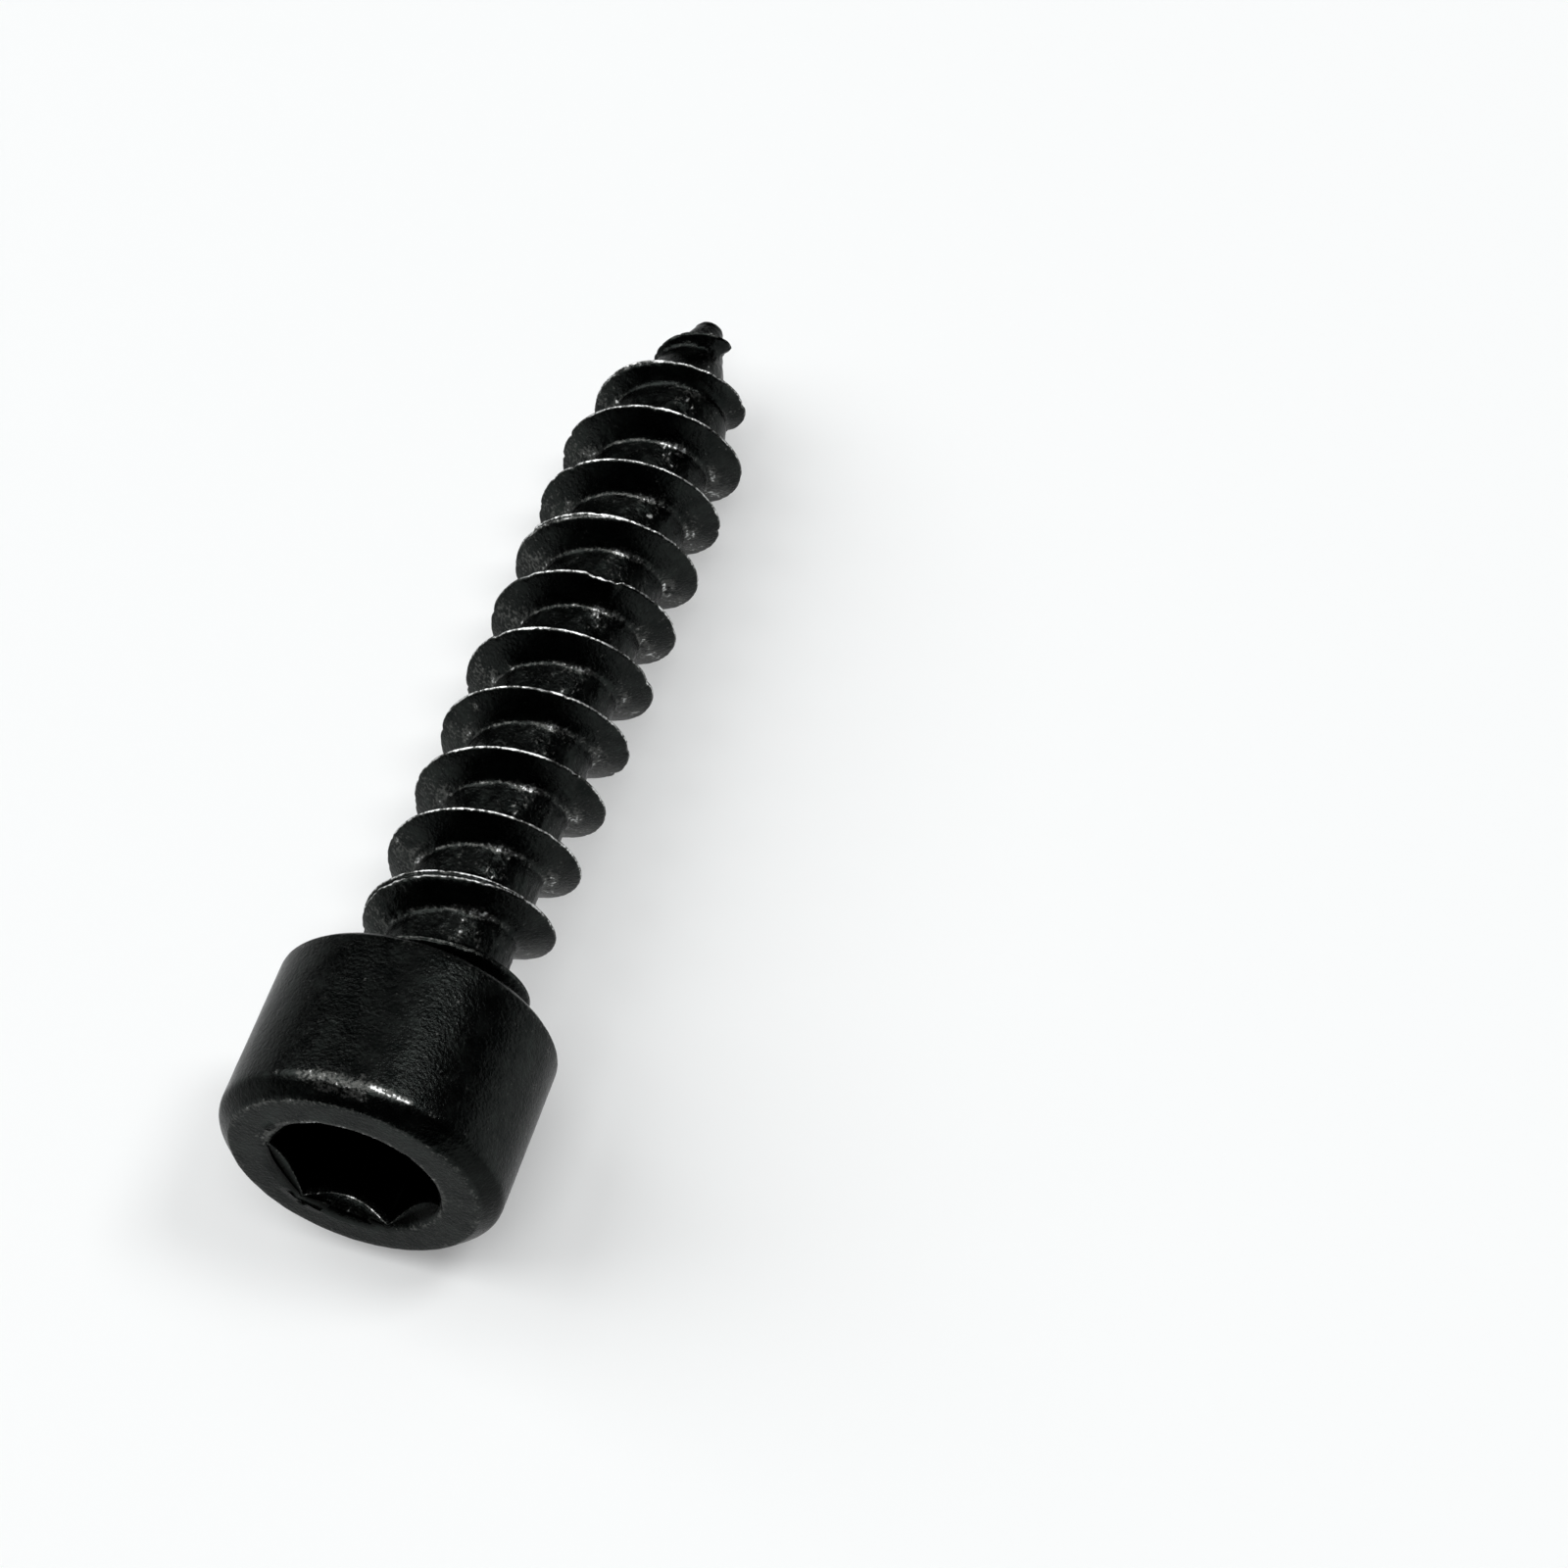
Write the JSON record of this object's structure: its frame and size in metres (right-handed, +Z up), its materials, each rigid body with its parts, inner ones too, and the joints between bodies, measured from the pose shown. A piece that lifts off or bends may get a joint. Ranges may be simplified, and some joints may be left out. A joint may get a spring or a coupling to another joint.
{
  "type": "self-tapping socket head screw",
  "caption": "Black self-tapping screw with a cylindrical hexagon-socket head, a coarse right-hand thread and a tapered point, lying on its side.",
  "frame": {"origin": "on the surface the screw lies on, under the middle of its length", "axes": "+Y along the screw from its head to its point, +Z up; the screw's own axis dips 3.5 degrees towards the point"},
  "size_m": [0.006, 0.024, 0.0062],
  "materials": {
    "steel": "black oxide, satin"
  },
  "bodies": {
    "root": {"screw": "steel"}
  },
  "joints": []
}
